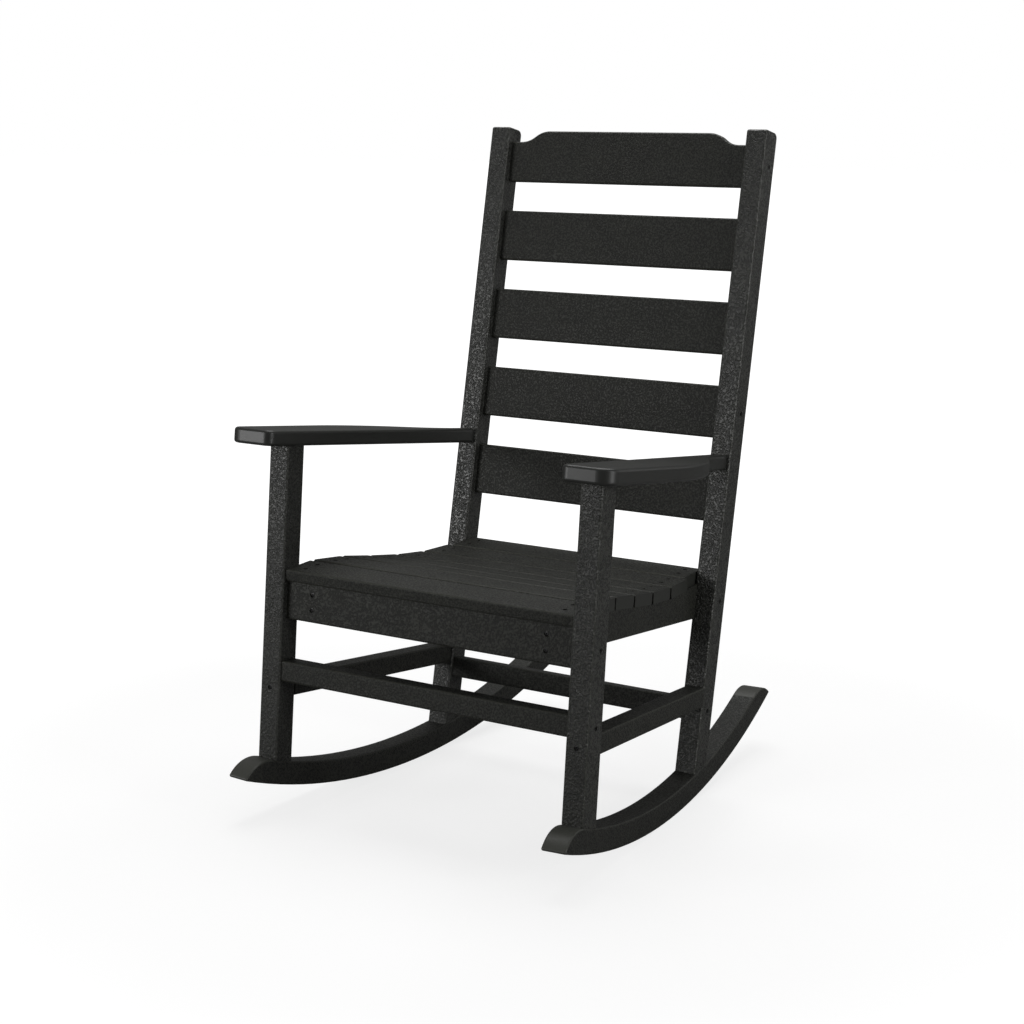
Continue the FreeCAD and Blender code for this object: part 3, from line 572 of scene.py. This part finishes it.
@dataclass
class Fasteners:
    """Pan-head screws with a square drive, in place of the plain screws of the frame.

    The crown is an outline, as shares of the head's radius and height. The socket narrows by its
    taper, at the lip and at the floor.
    """

    head_mm: float = 7.4
    head_height_mm: float = 2.0
    crown: tuple[tuple[float, float], ...] = (
        (1.0, 0.5), (0.96, 0.72), (0.86, 0.88), (0.7, 0.97), (0.58, 1.0))
    corners: int = 32
    socket_mm: float = 2.6
    socket_depth_mm: float = 1.2
    socket_lip_mm: float = 0.15
    socket_taper: tuple[float, float] = (0.92, 0.88)
    shank_mm: float = 4.2
    point_share: float = 0.1
    point_width: float = 0.35
    shank_sides: int = 12
    shank_steps: int = 24
    rim_share: float = 0.45
    weld: float = 1e-6
    smooth_below: float = 35.0
    seed: int = 7
    finish: ScrewFinish = ScrewFinish()

    def build(self) -> None:
        """Replace each group of screws with detailed ones and coat the studs."""
        steel = self.finish.material()
        head = self._head()
        tree = self._tree(steel)
        for name, node in sorted(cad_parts.items()):
            if not name.endswith("_screws"):
                continue
            piece = self._placed(name, node, tree, head)
            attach(piece, BODY)
            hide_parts(name)
            LOG.info("built %s with %d faces", piece.name, len(piece.data.polygons))
        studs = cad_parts["arm_studs"]
        studs.data.materials.clear()
        studs.data.materials.append(steel)
        bpy.data.objects.remove(head)

    def _head(self) -> bpy.types.Object:
        """Turn the head's outline and sink the square socket in it, seated at the origin.

        Returns:
            The head as an object that is not in the scene.
        """
        outer, tall = self.head_mm / 2, self.head_height_mm
        rings = [(self.shank_mm / 2, 0.0), (outer, 0.0)]
        rings += [(width * outer, height * tall) for width, height in self.crown]
        mesh = bmesh.new()
        built = [[mesh.verts.new(Vector((radius * math.cos(turn), radius * math.sin(turn), level)) * MM)
                  for turn in self._turns()] for radius, level in rings]
        half = self.socket_mm / 2
        lip, floor = self.socket_taper
        walls = ((half, tall), (lip * half, tall - self.socket_lip_mm),
                 (floor * half, tall - self.socket_depth_mm))
        for reach, level in walls:
            built.append([mesh.verts.new(Vector((*self._on_square(turn, reach), level)) * MM)
                          for turn in self._turns()])
        for lower, upper in zip(built, built[1:]):
            for i in range(len(lower)):
                j = (i + 1) % len(lower)
                mesh.faces.new((lower[i], lower[j], upper[j], upper[i]))
        mesh.faces.new(built[-1])
        mesh.faces.new(built[0][::-1])
        bmesh.ops.recalc_face_normals(mesh, faces=mesh.faces)
        data = bpy.data.meshes.new("screw_head")
        mesh.to_mesh(data)
        mesh.free()
        return bpy.data.objects.new("screw_head", data)

    def _turns(self) -> list[float]:
        """The angles of the head's corners, which include the socket's own corners."""
        return [math.radians(360 / self.corners * i) for i in range(self.corners)]

    def _on_square(self, turn: float, reach: float) -> tuple[float, float]:
        """The point of a square with this half width in one direction."""
        widest = max(abs(math.cos(turn)), abs(math.sin(turn)))
        return reach * math.cos(turn) / widest, reach * math.sin(turn) / widest

    def _tree(self, steel: bpy.types.Material) -> bpy.types.NodeTree:
        """Geometry nodes that set a head and a shank at each point.

        Args:
            steel: The finish.

        Returns:
            The tree, with inputs for its sizes.
        """
        tree = bpy.data.node_groups.new("drive_screws", "GeometryNodeTree")
        for name, kind in (("Places", "Geometry"), ("Head", "Object"), ("Shank diameter", "Float"),
                           ("Seed", "Int")):
            tree.interface.new_socket(name, in_out="INPUT", socket_type=f"NodeSocket{kind}")
        tree.interface.new_socket("Screws", in_out="OUTPUT", socket_type="NodeSocketGeometry")
        given = tree.nodes.new("NodeGroupInput").outputs
        way = add_node(tree, "GeometryNodeInputNamedAttribute", {"Name": "outwards"},
                       data_type="FLOAT_VECTOR")
        reach = add_node(tree, "GeometryNodeInputNamedAttribute", {"Name": "reach"}, data_type="FLOAT")
        stand = add_node(tree, "FunctionNodeAlignRotationToVector", {"Vector": way.outputs[0]}, axis="Z")
        spin = add_node(tree, "FunctionNodeRandomValue", {2: 0.0, 3: math.pi, "Seed": given["Seed"]},
                        data_type="FLOAT")
        turned = add_node(tree, "FunctionNodeAxisAngleToRotation", {"Axis": (0.0, 0.0, 1.0),
                                                                    "Angle": spin.outputs[1]})
        both = add_node(tree, "FunctionNodeRotateRotation", {0: stand.outputs[0], 1: turned.outputs[0]},
                        rotation_space="LOCAL")
        shown = add_node(tree, "GeometryNodeObjectInfo", {"Object": given["Head"], "As Instance": True})
        heads = add_node(tree, "GeometryNodeInstanceOnPoints", {
            "Points": given["Places"], "Instance": shown.outputs["Geometry"], "Rotation": both.outputs[0]})
        shank = self._shank(tree, given)
        stretch = add_node(tree, "ShaderNodeCombineXYZ", {"X": 1.0, "Y": 1.0, "Z": reach.outputs[0]})
        shanks = add_node(tree, "GeometryNodeInstanceOnPoints", {
            "Points": given["Places"], "Instance": shank, "Rotation": both.outputs[0],
            "Scale": stretch.outputs[0]})
        joined = add_node(tree, "GeometryNodeJoinGeometry")
        tree.links.new(heads.outputs[0], joined.inputs[0])
        tree.links.new(shanks.outputs[0], joined.inputs[0])
        real = add_node(tree, "GeometryNodeRealizeInstances", {"Geometry": joined.outputs[0]})
        coated = add_node(tree, "GeometryNodeSetMaterial", {"Geometry": real.outputs[0], "Material": steel})
        add_node(tree, "NodeGroupOutput", {0: coated.outputs[0]})
        return tree

    def _shank(self, tree: bpy.types.NodeTree, given: Any) -> bpy.types.NodeSocket:
        """A shank one metre long below the origin, drawn in to a short point.

        Args:
            tree: The screws' tree.
            given: The tree's inputs.

        Returns:
            The shank's geometry.
        """
        radius = maths(tree, "MULTIPLY", given["Shank diameter"], 0.5)
        core = add_node(tree, "GeometryNodeMeshCylinder", {
            "Vertices": self.shank_sides, "Side Segments": self.shank_steps, "Radius": radius,
            "Depth": 1.0})
        where = add_node(tree, "GeometryNodeInputPosition")
        split = add_node(tree, "ShaderNodeSeparateXYZ", {0: where.outputs[0]})
        low = add_node(tree, "ShaderNodeMapRange", {
            "Value": split.outputs[2], "From Min": -0.5, "From Max": self.point_share - 0.5,
            "To Min": self.point_width, "To Max": 1.0})
        narrow = add_node(tree, "ShaderNodeCombineXYZ", {"X": low.outputs[0], "Y": low.outputs[0], "Z": 1.0})
        drawn = add_node(tree, "ShaderNodeVectorMath", {0: where.outputs[0], 1: narrow.outputs[0]},
                         operation="MULTIPLY")
        lowered = add_node(tree, "ShaderNodeVectorMath", {0: drawn.outputs[0], 1: (0.0, 0.0, -0.5)},
                           operation="ADD")
        set_at = add_node(tree, "GeometryNodeSetPosition", {"Geometry": core.outputs[0],
                                                            "Position": lowered.outputs[0]})
        return set_at.outputs[0]

    def _placed(self, name: str, node: bpy.types.Object, tree: bpy.types.NodeTree,
                head: bpy.types.Object) -> bpy.types.Object:
        """Run the tree for one group of screws and keep the result as a plain mesh.

        Args:
            name: The group's name.
            node: The plain screws of the frame.
            tree: The screws' tree.
            head: The head, which seats at its origin and faces along Z.

        Returns:
            The detailed screws, in place.
        """
        places = self._read(node)
        data = bpy.data.meshes.new(f"{name}_places")
        data.from_pydata([seat for seat, _, _ in places], [], [])
        data.attributes.new("outwards", "FLOAT_VECTOR", "POINT").data.foreach_set(
            "vector", [part for _, way, _ in places for part in way])
        data.attributes.new("reach", "FLOAT", "POINT").data.foreach_set(
            "value", [reach for _, _, reach in places])
        made = bpy.data.objects.new(f"{name}_detailed", data)
        bpy.context.scene.collection.objects.link(made)
        modifier = made.modifiers.new("screws", "NODES")
        modifier.node_group = tree
        values = {"Head": head, "Shank diameter": self.shank_mm * MM, "Seed": self.seed}
        for item in tree.interface.items_tree:
            if item.name in values:
                modifier[item.identifier] = values[item.name]
        graph = bpy.context.evaluated_depsgraph_get()
        plain = bpy.data.meshes.new_from_object(made.evaluated_get(graph))
        made.modifiers.clear()
        made.data = plain
        bpy.data.meshes.remove(data)
        for face in plain.polygons:
            face.use_smooth = True
        plain.set_sharp_from_angle(angle=math.radians(self.smooth_below))
        return made

    def _read(self, node: bpy.types.Object) -> list[tuple[Vector, Vector, float]]:
        """Find where each plain screw sits.

        Args:
            node: The plain screws of one group.

        Returns:
            For each screw, the middle of its head's seat, the way it faces and its reach below.
        """
        welded = bmesh.new()
        welded.from_mesh(node.data)
        bmesh.ops.remove_doubles(welded, verts=welded.verts, dist=self.weld)
        left, found = set(welded.verts), []
        while left:
            island, edge = set(), {next(iter(left))}
            while edge:
                island |= edge
                edge = {e.other_vert(v) for v in edge for e in v.link_edges} - island
            left -= island
            points = np.array([v.co for v in island])
            middle = (points.min(0) + points.max(0)) / 2
            axis = np.linalg.svd(points - points.mean(0), full_matrices=False)[2][0]
            along = (points - middle) @ axis
            wide = np.linalg.norm(points - middle - np.outer(along, axis), axis=1)
            if wide[along > 0].max() < wide[along < 0].max():
                axis, along = -axis, -along
            # Only the head's rim is this far from the axis
            in_head = wide > self.rim_share * self.head_mm * MM
            seat = along[in_head].min()
            found.append((Vector(middle + axis * seat), Vector(axis), float(seat - along.min())))
        welded.free()
        return sorted(found, key=lambda place: tuple(round(part, 5) for part in place[0]))


@dataclass(frozen=True)
class SoftBox:
    """One soft box, by its place, what it is turned to, its width and height, and its power."""

    name: str
    at: tuple[float, float, float]
    aim: tuple[float, float, float]
    size: tuple[float, float]
    watts: float

    def build(self) -> None:
        """Put the soft box in the scene."""
        light = bpy.data.lights.new(self.name, "AREA")
        light.shape = "RECTANGLE"
        light.size, light.size_y = self.size
        light.energy = self.watts
        lamp = bpy.data.objects.new(self.name, light)
        lamp.location = self.at
        lamp.rotation_euler = (Vector(self.aim) - Vector(self.at)).to_track_quat("-Z", "Y").to_euler()
        bpy.context.scene.collection.objects.link(lamp)


@dataclass
class Studio:
    """A white floor and backdrop, soft light and the photograph's camera.

    The eye sees white paper. The floor and the room that light the chair are greyer, so its
    undersides and its shaded faces stay as dark as in the photograph.
    """

    camera_at: tuple[float, float, float] = (1.69545, -2.74740, 1.14348)
    camera_turn: tuple[float, float, float] = (78.301, -0.104, 32.3325)
    lens_mm: float = 69.507
    sensor_mm: float = 36.0
    floor_half: float = 30.0
    floor_glow: float = 0.66
    glow_level: float = 1.18
    clear_floor: tuple[float, float] = (0.8, 1.8)
    ambient: float = 0.15
    floor_seen: str = "#f2f2f2"
    floor_met: str = "#808080"
    boxes: tuple[SoftBox, ...] = (
        SoftBox("front left", (-1.9, -2.7, 1.0), (0.0, 0.0, 0.8), (1.3, 0.8), 34.0),
        SoftBox("right", (3.4, -0.4, 1.1), (0.2, 0.0, 0.6), (0.9, 1.4), 36.0),
        SoftBox("back right", (2.2, 2.6, 1.2), (0.3, 0.0, 0.6), (1.5, 1.5), 6.0),
        SoftBox("overhead", (-0.4, 0.8, 3.2), (0.0, 0.0, 0.3), (2.2, 2.2), 52.0))

    def build(self) -> None:
        """Set up everything round the chair."""
        self._floor()
        self._world()
        self._lights()
        self._camera()
        bpy.context.scene.view_settings.view_transform = "Standard"

    def _seen(self, tree: bpy.types.NodeTree) -> bpy.types.NodeSocket:
        """Give one for rays that show the backdrop to the eye, and nought for the others."""
        return add_node(tree, "ShaderNodeLightPath").outputs["Is Camera Ray"]

    def _floor(self) -> None:
        """A plain white floor that keeps a soft shadow near the chair and is clear white beyond."""
        half = self.floor_half
        data = bpy.data.meshes.new("floor")
        corners = [(-half, -half, 0), (half, -half, 0), (half, half, 0), (-half, half, 0)]
        data.from_pydata(corners, [], [(0, 1, 2, 3)])
        floor = bpy.data.objects.new("floor", data)
        bpy.context.scene.collection.objects.link(floor)
        paper = bpy.data.materials.new("Paper, white studio sweep")
        paper.use_nodes = True
        tree = paper.node_tree
        tree.nodes.clear()
        tone = blended(tree, self._seen(tree), linear(self.floor_met), linear(self.floor_seen))
        matt = add_node(tree, "ShaderNodeBsdfDiffuse", {"Color": tone})
        glow = add_node(tree, "ShaderNodeEmission", {"Color": WHITE, "Strength": self.glow_level})
        where = add_node(tree, "ShaderNodeTexCoord").outputs["Object"]
        away = add_node(tree, "ShaderNodeVectorMath", {0: where}, operation="LENGTH").outputs["Value"]
        glow_share = ramp_between(tree, away, *self.clear_floor, self.floor_glow, 1.0)
        share = maths(tree, "MULTIPLY", self._seen(tree), glow_share)
        mixed = add_node(tree, "ShaderNodeMixShader", {0: share, 1: matt.outputs[0], 2: glow.outputs[0]})
        add_node(tree, "ShaderNodeOutputMaterial", {"Surface": mixed.outputs[0]})
        data.materials.append(paper)

    def _world(self) -> None:
        """White to the eye, and a quiet ambient light otherwise."""
        world = bpy.data.worlds.new("White room")
        bpy.context.scene.world = world
        world.use_nodes = True
        tree = world.node_tree
        tree.nodes.clear()
        level = maths(tree, "MULTIPLY_ADD", self._seen(tree), 1.0 - self.ambient, self.ambient)
        back = add_node(tree, "ShaderNodeBackground", {"Color": WHITE, "Strength": level})
        add_node(tree, "ShaderNodeOutputWorld", {"Surface": back.outputs[0]})

    def _lights(self) -> None:
        """Put every soft box in its place."""
        for box in self.boxes:
            box.build()

    def _camera(self) -> None:
        """The photograph's camera, fitted to the chair's straight edges."""
        camera = bpy.data.cameras.new("camera")
        camera.lens = self.lens_mm
        camera.sensor_width = self.sensor_mm
        camera.clip_end = 100.0
        holder = bpy.data.objects.new("camera", camera)
        holder.location = self.camera_at
        holder.rotation_euler = [math.radians(part) for part in self.camera_turn]
        bpy.context.scene.collection.objects.link(holder)
        bpy.context.scene.camera = holder


def main() -> None:
    """Build the looks in order."""
    logging.basicConfig(level=logging.INFO, format="%(name)s: %(message)s")
    for part in (BaseFrame(), Seat(), Back(), Arms()):
        part.dress()
    Fasteners().build()
    Studio().build()


if __name__ == "__main__":
    main()
